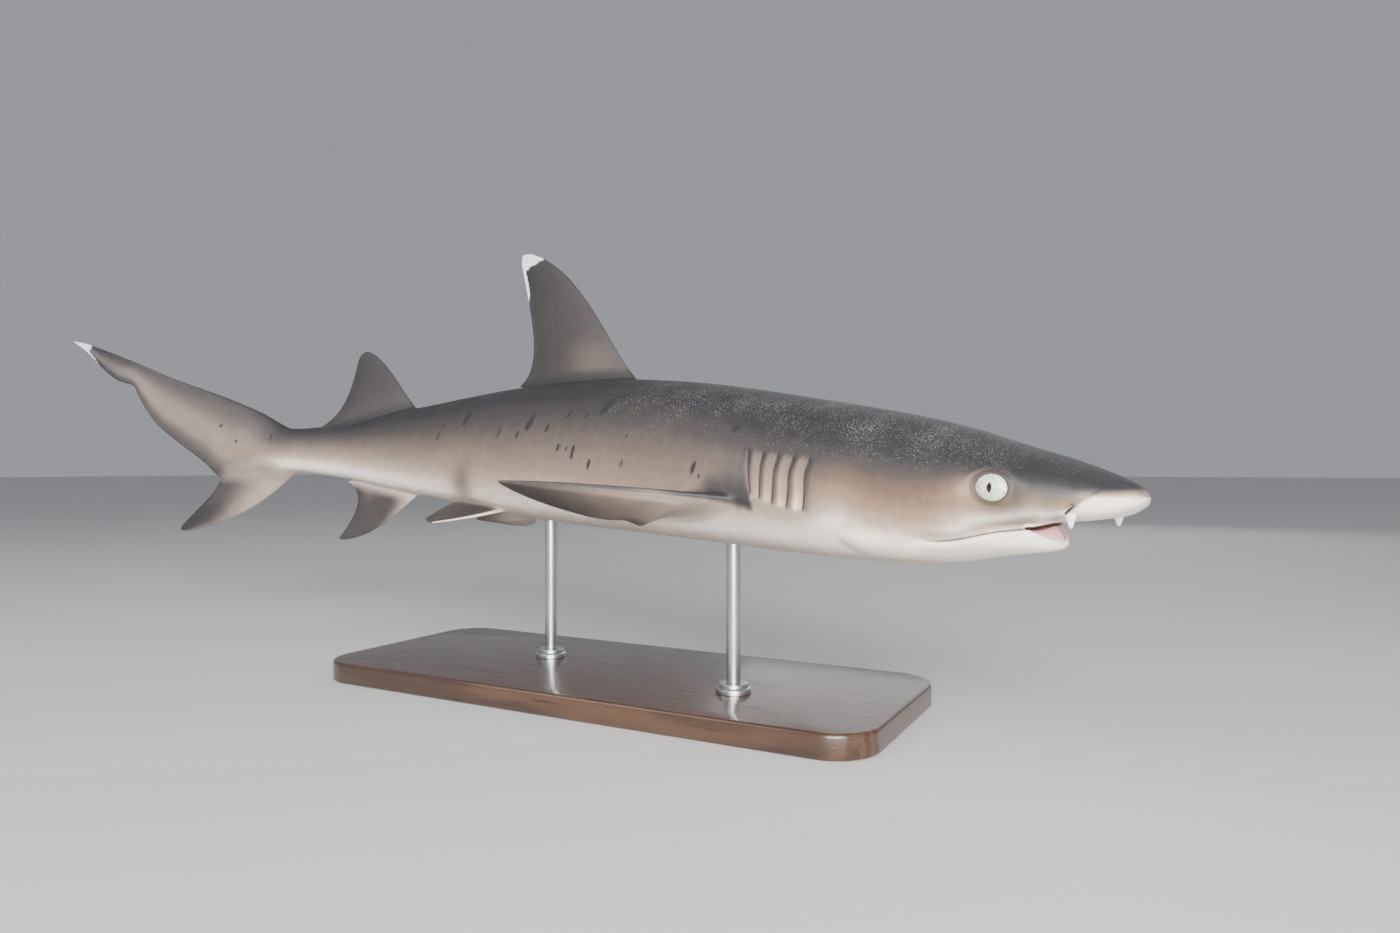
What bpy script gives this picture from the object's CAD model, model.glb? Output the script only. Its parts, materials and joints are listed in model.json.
import json
import math

import bpy
import numpy as np
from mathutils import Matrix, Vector
from mathutils.kdtree import KDTree

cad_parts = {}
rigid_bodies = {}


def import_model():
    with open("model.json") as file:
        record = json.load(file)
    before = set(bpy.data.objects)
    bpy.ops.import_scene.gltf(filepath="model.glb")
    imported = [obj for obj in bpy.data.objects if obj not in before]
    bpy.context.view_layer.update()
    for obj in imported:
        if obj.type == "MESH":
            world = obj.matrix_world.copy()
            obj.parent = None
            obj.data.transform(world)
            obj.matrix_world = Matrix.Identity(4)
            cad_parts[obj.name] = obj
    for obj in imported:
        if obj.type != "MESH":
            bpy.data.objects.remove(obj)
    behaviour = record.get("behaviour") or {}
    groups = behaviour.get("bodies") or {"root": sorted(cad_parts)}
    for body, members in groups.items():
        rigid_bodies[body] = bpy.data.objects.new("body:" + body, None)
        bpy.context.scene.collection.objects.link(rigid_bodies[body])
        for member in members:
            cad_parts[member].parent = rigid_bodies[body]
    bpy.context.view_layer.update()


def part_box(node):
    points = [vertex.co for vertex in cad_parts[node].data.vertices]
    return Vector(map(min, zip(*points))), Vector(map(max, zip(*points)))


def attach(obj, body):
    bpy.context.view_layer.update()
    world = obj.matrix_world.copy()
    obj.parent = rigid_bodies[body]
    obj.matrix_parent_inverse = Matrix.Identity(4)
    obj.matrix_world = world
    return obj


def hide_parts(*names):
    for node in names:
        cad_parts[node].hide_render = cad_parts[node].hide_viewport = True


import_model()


# ---- stand base ----
# A solid hardwood plank, stained dark and lacquered, with round corners and a softened edge. It
# is cut from a block: the four upright edges are rounded first, then both rims.

def deselect_all():
    for thing in bpy.data.objects:
        thing.select_set(False)


def make_active(piece):
    """Leaves object mode with this piece alone selected."""
    if bpy.context.object and bpy.context.object.mode != "OBJECT":
        bpy.ops.object.mode_set(mode="OBJECT")
    deselect_all()
    piece.select_set(True)
    bpy.context.view_layer.objects.active = piece


def deselect_mesh(mesh):
    for elements in (mesh.vertices, mesh.edges, mesh.polygons):
        elements.foreach_set("select", [False] * len(elements))


def select_edges(piece, wanted):
    """Leaves edit mode with those edges selected whose two ends pass the test."""
    bpy.ops.object.mode_set(mode="OBJECT")
    mesh = piece.data
    deselect_mesh(mesh)
    for edge in mesh.edges:
        a, b = (mesh.vertices[i].co for i in edge.vertices)
        edge.select = wanted(a, b)
    bpy.context.tool_settings.mesh_select_mode = (False, True, False)
    bpy.ops.object.mode_set(mode="EDIT")


def settle(piece):
    """Takes the piece's place and size into its mesh."""
    make_active(piece)
    bpy.ops.object.transform_apply(location=True, rotation=True, scale=True)


class Shade:
    """A socket of the material being made. Its operators add the Math nodes."""

    tree = None

    def __init__(self, socket):
        self.socket = socket

    @classmethod
    def node(cls, kind, settings, inputs, output=0):
        """Adds a node, sets it up, fills its sockets and returns one of its outputs."""
        made = cls.tree.nodes.new("ShaderNode" + kind)
        for key, value in settings.items():
            if key == "stops":
                stops = made.color_ramp.elements
                for place, _ in value[2:]:
                    stops.new(place)
                for stop, (place, colour) in zip(stops, value):
                    stop.position = place
                    stop.color = (*colour, 1)
            else:
                setattr(made, key, value)
        for key, value in inputs.items():
            if isinstance(value, Shade):
                cls.tree.links.new(value.socket, made.inputs[key])
            else:
                made.inputs[key].default_value = value
        return cls(made.outputs[output]) if len(made.outputs) else None

    def maths(self, operation, *others):
        return Shade.node("Math", {"operation": operation}, dict(enumerate((self, *others))))

    def __add__(self, other):
        return self.maths("ADD", other)

    __radd__ = __add__

    def __sub__(self, other):
        return self.maths("SUBTRACT", other)

    def __rsub__(self, other):
        return self * -1 + other

    def __mul__(self, other):
        return self.maths("MULTIPLY", other)

    __rmul__ = __mul__

    def __pow__(self, other):
        return self.maths("POWER", other)

    def smooth(self, low, high):
        """0 below low, 1 above high, and soft between; low may be the larger."""
        if low > high:
            return 1 - self.smooth(high, low)
        settings = {"interpolation_type": "SMOOTHSTEP"}
        return Shade.node("MapRange", settings, {0: self, 1: low, 2: high})


def mixed(under, over, share):
    """One colour over another; a colour is a socket or three numbers."""
    colours = [c if isinstance(c, Shade) else (*c, 1) for c in (under, over)]
    inputs = {0: share, 6: colours[0], 7: colours[1]}
    return Shade.node("Mix", {"data_type": "RGBA"}, inputs, 2)


def stretched(place, scale):
    return Shade.node("Mapping", {}, {"Vector": place, "Scale": scale})


def object_place(scale=(1, 1, 1)):
    """The point on the piece in metres, stretched for a pattern."""
    return stretched(Shade.node("TexCoord", {}, {}, "Object"), scale)


def noise(place, scale, detail=2.0, roughness=0.5):
    inputs = {"Vector": place, "Scale": scale, "Detail": detail, "Roughness": roughness}
    return Shade.node("TexNoise", {}, inputs)


def start_material(name):
    material = bpy.data.materials.new(name)
    material.use_nodes = True
    Shade.tree = material.node_tree
    Shade.tree.nodes.clear()
    return material


def finish_material(colour, roughness, height=None, depth=0.001, fixed=()):
    """Closes the material: height is a relief in 0 to 1, depth its size in metres."""
    inputs = {"Base Color": colour, "Roughness": roughness, **dict(fixed)}
    if height is not None:
        bump = {"Height": height, "Distance": depth, "Strength": 1.0}
        inputs["Normal"] = Shade.node("Bump", {}, bump)
    surface = Shade.node("BsdfPrincipled", {}, inputs)
    Shade.node("OutputMaterial", {}, {"Surface": surface})


BASE_CORNER, CORNER_FACETS = 0.039, 14
BASE_EDGE, EDGE_FACETS = 0.003, 4
STAINED, STAIN_LIGHT, PORE_BROWN = (0.026, 0.013, 0.008), (0.085, 0.042, 0.022), (0.010, 0.005, 0.003)
PORE_DEPTH = 0.00012

low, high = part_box("stand_base")
size = high - low
deselect_all()
bpy.ops.mesh.primitive_cube_add(size=1, location=(low + high) / 2, scale=size)
stand_base = bpy.context.object
stand_base.name = "stand_base_plank"
settle(stand_base)
select_edges(stand_base, lambda a, b: abs(a.z - b.z) > size.z / 2)
bpy.ops.mesh.bevel(offset=BASE_CORNER, segments=CORNER_FACETS, profile=0.5)
select_edges(stand_base, lambda a, b: abs(a.z - b.z) < size.z / 4)
bpy.ops.mesh.bevel(offset=BASE_EDGE, segments=EDGE_FACETS, profile=0.5)
bpy.ops.object.mode_set(mode="OBJECT")
bpy.ops.object.shade_smooth_by_angle(angle=math.radians(32))

wood = start_material("stained_hardwood")
board = noise(object_place((1.0, 9.0, 9.0)), 3.0, 3.0)
rings = Shade.node(
    "TexWave",
    {"wave_type": "BANDS", "bands_direction": "Y"},
    {"Vector": object_place((0.6, 5.0, 3.0)), "Scale": 7.0, "Distortion": 9.0, "Detail": 3.0,
     "Detail Scale": 1.4},
)
open_pores = noise(object_place((18.0, 420.0, 420.0)), 1.0, 2.0).smooth(0.60, 0.70)
tone = mixed(STAINED, STAIN_LIGHT, rings * 0.55 + board * 0.45)
tone = mixed(tone, PORE_BROWN, open_pores * 0.7)
wear = noise(object_place(), 30.0, 4.0)
finish_material(
    tone,
    0.24 + wear * 0.14 + open_pores * 0.12,
    1 - open_pores * 0.8 + rings * 0.1,
    PORE_DEPTH,
    {"Coat Weight": 0.5, "Coat Roughness": 0.12},
)
stand_base.data.materials.append(wood)
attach(stand_base, "root")
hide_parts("stand_base")


# ---- rods and collars ----
# Two upright steel rods, turned and satin brushed, each in a collar that is screwed to the plank.
# A rod's top end is hidden in the belly; a collar has a stepped, rounded shoulder and a set screw.

COLLAR_WALL = 0.0032
FLANGE_HEIGHT, FLANGE_ROUNDING = 0.0042, 0.0012
HUB_ROUNDING, HUB_FILLET = 0.0008, (0.0008, 0.0006)
SCREW_RADIUS, SCREW_DEPTH, SCREW_RISE = 0.0008, 0.0012, 0.0002
TURNED_FACETS, RIM_STEPS = 64, 4
STEEL_DARK, STEEL_BRIGHT = (0.47, 0.48, 0.50), (0.62, 0.63, 0.64)


def upright_turned(name, centre, profile):
    """Turns a bar from [radius, height] rows: a cylinder, extruded and scaled row by row."""
    deselect_all()
    (radius, foot), (_, first) = profile[:2]
    bpy.ops.mesh.primitive_cylinder_add(
        vertices=TURNED_FACETS, radius=radius, depth=first - foot,
        location=(*centre, (foot + first) / 2), end_fill_type="NGON",
    )
    bar = bpy.context.object
    bar.name = name
    settle(bar)
    for (before, level), (after, above) in zip(profile[1:], profile[2:]):
        select_edges(bar, lambda a, b: min(a.z, b.z) > level - 1e-6)
        pivot = Vector((*centre, level))
        bpy.ops.mesh.select_mode(type="FACE")
        bpy.ops.mesh.extrude_region_move(TRANSFORM_OT_translate={"value": (0, 0, above - level)})
        share = after / before
        bpy.ops.transform.resize(value=(share, share, 1), center_override=pivot)
    bpy.ops.object.mode_set(mode="OBJECT")
    return bar


def rounded_rim(radius, top, reach):
    """Rows of a profile: a quarter round of that reach at the top of a bar."""
    turns = [k / RIM_STEPS * math.pi / 2 for k in range(RIM_STEPS + 1)]
    return [(radius - reach * (1 - math.cos(a)), top - reach * (1 - math.sin(a))) for a in turns]


def boolean(piece, other, operation):
    make_active(piece)
    cut = piece.modifiers.new("cut", "BOOLEAN")
    cut.object, cut.operation, cut.solver = other, operation, "EXACT"
    bpy.ops.object.modifier_apply(modifier=cut.name)
    bpy.data.objects.remove(other)


steel = start_material("brushed_steel")
lathe_marks = noise(object_place(scale=(60.0, 60.0, 2600.0)), 1.0, 2.0)
smudge = noise(object_place(), 45.0, 3.0)
finish_material(
    mixed(STEEL_DARK, STEEL_BRIGHT, smudge),
    0.22 + lathe_marks * 0.14 + smudge * 0.06,
    lathe_marks,
    0.00003,
    {"Metallic": 1.0},
)

for word in ("front", "rear"):
    low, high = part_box("stand_rod_" + word)
    centre = ((low.x + high.x) / 2, (low.y + high.y) / 2)
    radius = (high.x - low.x) / 2
    rod = upright_turned("stand_rod_bar_" + word, centre, [(radius, low.z), (radius, high.z)])

    low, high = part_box("stand_collar_" + word)
    broad = (high.x - low.x) / 2
    hub = radius + COLLAR_WALL
    step = low.z + FLANGE_HEIGHT
    profile = [(broad, low.z), *rounded_rim(broad, step, FLANGE_ROUNDING)]
    profile += [(hub + HUB_FILLET[0], step), (hub, step + HUB_FILLET[1])]
    profile += rounded_rim(hub, high.z, HUB_ROUNDING)
    collar = upright_turned("stand_collar_ring_" + word, centre, profile)
    deselect_all()
    bpy.ops.mesh.primitive_cylinder_add(
        vertices=6, radius=SCREW_RADIUS, depth=SCREW_DEPTH, rotation=(math.pi / 2, 0, 0),
        location=(centre[0], centre[1] - hub, (step + high.z) / 2 + SCREW_RISE),
    )
    socket = bpy.context.object
    settle(socket)
    boolean(collar, socket, "DIFFERENCE")
    for piece, node in ((rod, "stand_rod_" + word), (collar, "stand_collar_" + word)):
        make_active(piece)
        bpy.ops.object.shade_smooth_by_angle(angle=math.radians(35))
        piece.data.materials.append(steel)
        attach(piece, "root")
        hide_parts(node)


# ---- the shark's form ----
# The animal is shaped straight, in millimetres, nose at x = 0 and tail towards -x, from the same
# sections, lip line and fin outlines as its solids, and is bent onto its swimming spine last.
# Everything here is a distance behind the nose (s), outwards to one side, or up from the spine.

TOTAL_LENGTH = 1213
TAIL_STOCK_END = 905
SECTIONS = np.array([  # s, half width, and the levels of the back and of the belly
    [0, 0, 3.5, 3.5], [4, 10.5, 8.5, -1.5], [9, 18.5, 11.5, -4.5], [18, 28.5, 15.5, -8.5],
    [36, 39, 22, -12], [54, 46, 27.5, -14.5], [74, 52, 32.5, -19], [94, 57, 38, -27],
    [115, 61.5, 43.5, -42], [135, 64.5, 47.5, -49.5], [170, 68.5, 52.8, -54.2],
    [222, 71, 57.8, -58.5], [279, 72, 62, -62.6], [339, 71.5, 66.3, -66], [403, 69.8, 69.8, -68],
    [467, 67, 72, -68.4], [543, 62, 70.8, -66], [606, 55.5, 68, -61], [674, 45, 61, -53],
    [722, 38, 54.5, -47.5], [785, 29.5, 45.5, -39.5], [845, 21.5, 33.5, -29],
    [TAIL_STOCK_END, 16.5, 28, -22.5],
])
WIDEST_LEVEL = 0.46
BACK_FULLNESS = 2.05
BELLY_FULLNESS = 2.3
THROAT_FULLNESS = 3.2
THROAT_END, THROAT_BLEND = 135, 40
LIP_LINE = np.array([  # s and up
    [40, -13.6], [50, -13.8], [56, -15.7], [62, -17.9], [70, -19.7], [75.5, -20.9], [80.7, -22.5],
    [87.4, -24.9], [96, -27.9], [102.5, -29.6], [108.5, -30.6], [117, -30.8], [128, -29.2],
])
GAPE_SLOPE, GAPE_SOFTNESS, GAPE_END = 1.0, 2.2, 64.5  # the open mouth's corner is at GAPE_END
JAW_FRONT = 48.5
JAW_SECTIONS = np.array([
    [JAW_FRONT, 0, -26, -27], [50.5, 8, -18, -29.8], [54, 14, -14, -31.8], [60, 22, -10, -33.4],
    [70, 31, -8, -35.3], [84, 40, -6, -38], [100, 48.5, -4, -41.8], [115, 55.5, -4, -45.6],
    [135, 60.5, -6, -49.4], [160, 62, -10, -51], [188, 56, -20, -46],
])
LEAST_SIZE = 0.5


def mix(a, b, share):
    return a + (b - a) * share


def soft_step(value, low, high):
    share = np.clip((value - low) / (high - low), 0, 1)
    return share * share * (3 - 2 * share)


def between(value, low, low_end, high, high_end):
    """1 inside a stretch, 0 outside it and soft at both ends."""
    return soft_step(value, low, low_end) * (1 - soft_step(value, high, high_end))


def within(value, low, high):
    return (value > low) & (value < high)


def bell(value, centre, reach):
    return np.exp(-(((value - centre) / reach) ** 2))


def ridge(at, row):
    """A soft ridge, or a groove where its height is negative; row is place, half width, height."""
    place, half, height = row
    return height * bell(at, place, half)


def smooth_table(rows, column):
    """A curve through rows [place, ...values] that never overshoots."""
    x, y = rows[:, 0], rows[:, column]
    slope = np.diff(y) / np.diff(x)
    lean = np.zeros(len(x))
    lean[0], lean[-1] = slope[0], slope[-1]
    same_way = slope[:-1] * slope[1:] > 0
    total = np.where(same_way, slope[:-1] + slope[1:], 1)
    lean[1:-1] = np.where(same_way, 2 * slope[:-1] * slope[1:] / total, 0)

    def curve(at):
        v = np.clip(at, x[0], x[-1])
        i = np.clip(np.searchsorted(x, v, side="right") - 1, 0, len(x) - 2)
        h = x[i + 1] - x[i]
        t = (v - x[i]) / h
        return ((1 + 2 * t) * (1 - t) ** 2 * y[i] + t * (1 - t) ** 2 * h * lean[i]
                + t * t * (3 - 2 * t) * y[i + 1] + t * t * (t - 1) * h * lean[i + 1])
    return curve


half_width, top_line, under_line = (smooth_table(SECTIONS, k) for k in (1, 2, 3))
jaw_width, jaw_top, jaw_under = (smooth_table(JAW_SECTIONS, k) for k in (1, 2, 3))
upper_lip = smooth_table(LIP_LINE, 1)


def lower_lip(s):
    ahead_of_corner = np.maximum(GAPE_END - s, 0)
    return upper_lip(s) - GAPE_SLOPE * ahead_of_corner ** 2 / (ahead_of_corner + GAPE_SOFTNESS)


def belly_power(s):
    return mix(BELLY_FULLNESS, THROAT_FULLNESS, np.clip((THROAT_END - s) / THROAT_BLEND, 0, 1))


def section_sizes(s, curves=None, belly=belly_power):
    """Half width, level of the widest part, rise above it, drop below it, and both powers."""
    width, top, under = curves or (half_width, top_line, under_line)
    level = mix(under(s), top(s), WIDEST_LEVEL)
    return width(s), level, top(s) - level, level - under(s), BACK_FULLNESS, belly(s)


def on_section(s, turn, curves=None, belly=belly_power):
    """Points of the closed sections: turn is 0 at the left side and a quarter turn on top."""
    width, level, rise, drop, back, under = section_sizes(s, curves, belly)
    c, e = np.cos(turn), np.sin(turn)
    power = 2 / np.where(e >= 0, back, under)
    out = width * np.sign(c) * np.abs(c) ** power
    up = level + np.where(e >= 0, rise, drop) * np.sign(e) * np.abs(e) ** power
    return np.stack([-s + 0 * out, out, up], axis=1)


def off_level(s, up):
    """Half width, distance above the widest level, its share of the way to the rim, the power."""
    width, level, rise, drop, back, under = section_sizes(s)
    off = up - level
    reach = np.maximum(np.where(off >= 0, rise, drop), LEAST_SIZE)
    return width, off, np.abs(off) / reach, np.where(off >= 0, back, under)


def clearance(points):
    """How far points stand outside the smooth body, about, in mm; inside is negative."""
    out = np.abs(points[:, 1])
    width, off, height, power = off_level(-points[:, 0], points[:, 2])
    share = ((out / np.maximum(width, LEAST_SIZE)) ** power + height ** power) ** (1 / power)
    return np.hypot(out, off) * (1 - 1 / np.maximum(share, 1e-3))


layout = {}  # each loft's station and turn, point by point


def rounded_loft(name, around, stations, place):
    """A globe whose rings become a form's sections: place(station, turn) gives their points."""
    deselect_all()
    bpy.ops.mesh.primitive_uv_sphere_add(segments=around, ring_count=len(stations) + 1)
    piece = bpy.context.object
    piece.name = name
    points = read_points(piece)
    from_top = np.arccos(np.clip(points[:, 2], -1, 1)) / math.pi
    ring = np.rint(from_top * (len(stations) + 1)).astype(int)
    turn = np.arctan2(points[:, 1], points[:, 0])
    station = np.asarray(stations)[np.clip(ring - 1, 0, len(stations) - 1)]
    placed = place(station, turn)
    layout[name] = np.stack([station, turn], axis=1)
    for pole, beside in ((0, 1), (len(stations) + 1, len(stations))):
        placed[ring == pole] = placed[ring == beside].mean(axis=0)
    write_points(piece, placed)
    return piece


def read_all(elements, name, columns=3, kind=np.float32):
    """One property of all points, edges or faces, a row for each."""
    values = np.empty(len(elements) * columns, dtype=kind)
    elements.foreach_get(name, values)
    return values.reshape(-1, columns)


def read_points(piece):
    return read_all(piece.data.vertices, "co").astype(float)


def write_points(piece, points):
    piece.data.vertices.foreach_set("co", points.astype(np.float32).ravel())
    piece.data.update()


def edit_all(piece):
    make_active(piece)
    bpy.ops.object.mode_set(mode="EDIT")
    bpy.ops.mesh.select_all(action="SELECT")


def face_outwards(piece):
    edit_all(piece)
    bpy.ops.mesh.normals_make_consistent(inside=False)
    bpy.ops.object.mode_set(mode="OBJECT")


# ---- body and tail as one form ----
# One smooth form from the nose to the tip of the upper tail lobe: a globe of many rings, laid
# out along the body and halved twice where the eyes, nostrils, lips and gills need fine skin.

UPPER_EDGE = [[905, 28], [924, 28], [964, 47], [1013, 65.5], [1076, 86], [1139, 110],
              [1192, 128], [TOTAL_LENGTH, 132.5]]
LOWER_EDGE = [[905, -22.5], [945, -27], [990, -31], [1008, -31], [1034, -11], [1070, 13],
              [1097, 33], [1113, 52], [1123, 67], [1130, 78], [1150, 84], [1169, 96.5],
              [1194, 119], [TOTAL_LENGTH, 131.5]]
LOBE_HALF, LOBE_TAPER, LOBE_BLEND, ROUND_SHARE = 15.9, 2.4, 0.1, 0.25
EDGE_HALF, EDGE_ROUNDING = 0.6, 1.3
FOIL_SCALE = 1.5 * math.sqrt(3)
CURVE_STEPS = 40


def edge_curve(rows):
    """A centripetal curve through rows of points, as a function of the share of its length."""
    rows = np.array(rows, dtype=float)
    rows = np.vstack([2 * rows[0] - rows[1], rows, 2 * rows[-1] - rows[-2]])
    pieces = []
    for a, b, c, d in zip(rows, rows[1:], rows[2:], rows[3:]):
        runs = (b - a, c - b, d - c)
        first, middle, last = (math.sqrt(np.linalg.norm(run)) for run in runs)
        out = ((b - a) / first - (c - a) / (first + middle)) * middle + (c - b)
        into = (c - b) - ((d - b) / (middle + last) - (d - c) / last) * middle
        u = np.linspace(0, 1, CURVE_STEPS)[:, None]
        pieces.append(b + u * out + u ** 2 * (3 * (c - b) - 2 * out - into)
                      + u ** 3 * (2 * (b - c) + out + into))
    path = np.vstack(pieces)
    walked = np.concatenate([[0], np.cumsum(np.linalg.norm(np.diff(path, axis=0), axis=1))])
    walked /= walked[-1]
    return lambda t: np.stack([np.interp(t, walked, column) for column in path.T], axis=1)


upper_edge, lower_edge = edge_curve(UPPER_EDGE), edge_curve(LOWER_EDGE)


def blade_lift(share, chord, half, roundness=0):
    """Half thickness of a blade at a share of its chord: a foil with rounded, blunt edges."""
    foil = np.sqrt(share) * (1 - share) * FOIL_SCALE
    ellipse = 2 * np.sqrt(share * (1 - share))
    thick = np.maximum(EDGE_HALF, half * mix(foil, ellipse, roundness))
    inset = np.clip(np.minimum(share, 1 - share) * chord / (EDGE_ROUNDING * EDGE_HALF), 0, 1)
    return thick * np.sqrt(1 - (1 - inset) ** 2)


def lobe_share(along):
    """How far along the upper tail lobe a station is, 0 to 1."""
    return np.clip((along - TAIL_STOCK_END) / (TOTAL_LENGTH - TAIL_STOCK_END), 0, 1)


def body_point(along, turn):
    """The plain body's surface: closed sections to the tail stock's end, then the upper lobe."""
    stock = on_section(np.minimum(along, TAIL_STOCK_END), turn)
    t = lobe_share(along)
    lead, trail = upper_edge(t), lower_edge(t)
    share = np.clip((1 - np.sin(turn)) / 2, 0, 1)
    middle = mix(lead, trail, share[:, None])
    half = LOBE_HALF * (1 - t) ** LOBE_TAPER + EDGE_HALF
    chord = np.linalg.norm(lead - trail, axis=1)
    lift = blade_lift(share, chord, half, np.clip(1 - t / ROUND_SHARE, 0, 1))
    blade = np.stack([-middle[:, 0], np.sign(np.cos(turn)) * lift, middle[:, 1]], axis=1)
    moved = np.stack([blade[:, 0], stock[:, 1], stock[:, 2]], axis=1)
    lobe = mix(moved, blade, soft_step(t, 0, LOBE_BLEND)[:, None])
    return np.where((along > TAIL_STOCK_END)[:, None], lobe, stock)


def refine(piece, wanted):
    """Halves the faces whose centres pass the test."""
    mesh = piece.data
    make_active(piece)
    deselect_mesh(mesh)
    mesh.polygons.foreach_set("select", wanted(read_all(mesh.polygons, "center").astype(float)))
    bpy.context.tool_settings.mesh_select_mode = (False, False, True)
    bpy.ops.object.mode_set(mode="EDIT")
    bpy.ops.mesh.subdivide(number_cuts=1)
    bpy.ops.mesh.select_all(action="DESELECT")
    bpy.ops.mesh.select_face_by_sides(number=4, type="GREATER", extend=False)
    bpy.ops.mesh.quads_convert_to_tris(quad_method="BEAUTY", ngon_method="BEAUTY")
    bpy.ops.object.mode_set(mode="OBJECT")


# Eyes and the openings of their lids: centre as s, out and up, and half sizes. The folds round the
# lids are rows of place (1 is the lids' rim), half width and height.
EYE_CENTRE = (74.3, 46.5, 6.3)
EYE_HALF = (12.4, 8.5, 9.8)
LIDS_CENTRE = (73.2, 6.25)
LIDS_HALF = (10.35, 8.45)
LID_STANDS_PROUD, SOCKET_DEPTH, ORBIT_REACH = 0.75, 2.2, 2.1
LID_ROLL, LID_GROOVE, BROW = (1.13, 0.09, 0.45), (1.34, 0.13, -0.3), (1.5, 0.3, 0.8)

# Gill slits, from the first to the last: stations and feet, and how far a foot lies behind its
# top. A slit is cut in behind a sunken edge, and the skin after it stands proud.
SLITS = 5
SLIT_STATIONS = (203.5, 261)
SLIT_TOP = 14.5
SLIT_FOOT = (-23.5, -18)
SLIT_LEAN = (1.5, -8.5)
SLIT_WAVE = 1.2
SLIT_CUT = (0, 0.65, -1.2)
SUNKEN, SUNKEN_REACH = -0.9, 3.8
PROUD, PROUD_REACH = 0.3, 6

# Nostril: a crease on the side of the snout, open as a slit over the flap's root, over a low swell.
NOSTRIL_CREASE = [(19.5, 6.8), (26.3, 1.5), (30.7, -3.1), (36.1, -7.9), (47, -12.2)]
NOSTRIL_SLIT = [(30.3, -2.8), (35.0, -6.9)]
NOSTRIL_SWELL = [(20, 2.0), (28, -5.0)]
NOSTRIL_FOLDS = [(NOSTRIL_CREASE, (0, 1.3, -0.45)),
                 (NOSTRIL_SLIT, (0, 0.8, -2.0), (0, 2.2, -1.0)),
                 (NOSTRIL_SWELL, (0, 3, 0.8))]

# Dark spots of the right side: s, up, half length, half height and strength. The left side has
# the same kind of spots in other places.
RIGHT_SPOTS = [
    (438, 40, 4.5, 7.5, 0.75), (537, 26, 4, 7, 0.85), (484, 33, 2.2, 4, 0.6),
    (459, 32, 1.8, 3, 0.6), (552, 14, 1.6, 3.4, 0.9), (582, 16, 1.3, 5, 0.7),
    (509, 20, 1.7, 3.6, 0.9), (488, 2, 1.8, 3.2, 0.8), (466, 0, 2, 3.8, 1), (467, -5, 1.8, 3, 0.9),
    (476, 1, 1.6, 2.8, 0.4), (443, -12, 1.8, 4.2, 0.9), (399, -9, 2.2, 3.8, 0.35),
    (398, 14, 1.3, 2, 0.5), (313, -5, 2.2, 5, 0.7), (306, -11, 1.6, 2.6, 0.4),
    (281, 29, 3, 3.4, 0.6), (643, 32, 3.6, 6.5, 0.7), (743, 34, 2.4, 3.4, 0.7),
    (678, 26, 1.2, 4.6, 0.5), (684, 16, 1.2, 6, 0.6), (742, 26, 1.4, 2.4, 0.5),
    (1009, 30, 1.8, 2, 0.7), (988, 12, 1.8, 2, 0.6), (942, 16, 1.1, 4.5, 0.6),
]
LEFT_SPOTS = [
    (425, 31, 4, 6.5, 0.7), (522, 34, 4.2, 6.5, 0.8), (477, 18, 2, 4, 0.7), (449, 8, 2, 3.6, 0.9),
    (563, 20, 1.7, 3.6, 0.8), (596, 8, 1.3, 4.6, 0.7), (500, -4, 2, 3.8, 0.9),
    (541, 4, 1.7, 3.2, 0.7), (386, -2, 2.2, 4, 0.5), (412, -14, 1.8, 4, 0.8),
    (330, 2, 2.2, 4.6, 0.6), (297, 24, 2.6, 3.2, 0.6), (655, 24, 3.4, 6, 0.7),
    (702, 30, 2.2, 4, 0.6), (668, 12, 1.3, 5, 0.5), (760, 22, 1.6, 3, 0.6),
    (979, 27, 1.8, 2.2, 0.7), (1021, 42, 1.7, 2, 0.6),
]
SPOT_LEAN = -0.28  # how far a spot's top lies ahead of its foot, for its height


def spot_reach(points):
    """Distance from the nearest spot's middle, 1 on its rim, and that spot's strength."""
    nearest, strength = np.full(len(points), 99.0), np.zeros(len(points))
    for spots, side in ((RIGHT_SPOTS, -1), (LEFT_SPOTS, 1)):
        for s, up, length, height, dark in spots:
            rise = points[:, 2] - up
            off = -points[:, 0] - s - SPOT_LEAN * rise
            reach = np.where(side * points[:, 1] > 0, np.hypot(off / length, rise / height), 99)
            strength = np.where(reach < nearest, dark, strength)
            nearest = np.minimum(nearest, reach)
    return nearest, strength


def oval(a, b, centre, half):
    """Distance from the middle of an oval, 1 on its rim."""
    return np.hypot((a - centre[0]) / half[0], (b - centre[1]) / half[1])


def lid_reach(s, up):
    return oval(s, up, LIDS_CENTRE, LIDS_HALF)


def slit_line(number, up):
    """Place of a gill slit at a height, and how far down the slit that height is, 0 to 1."""
    share = number / (SLITS - 1)
    foot = mix(*SLIT_FOOT, share ** 2)
    down = (SLIT_TOP - up) / (SLIT_TOP - foot)
    inside = np.clip(down, 0, 1)
    wave = SLIT_WAVE * np.sin(inside * math.pi * 2) * (1 - share)
    return mix(*SLIT_STATIONS, share) + mix(*SLIT_LEAN, share ** 3) * inside + wave, down


def path_distance(s, up, path):
    """Distance from a path of [s, up] corners."""
    nearest = np.full(len(s), np.inf)
    for (s0, up0), (s1, up1) in zip(path, path[1:]):
        run = np.array([s1 - s0, up1 - up0], dtype=float)
        share = np.clip(((s - s0) * run[0] + (up - up0) * run[1]) / (run @ run), 0, 1)
        nearest = np.minimum(nearest, np.hypot(s - s0 - share * run[0], up - up0 - share * run[1]))
    return nearest


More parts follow.
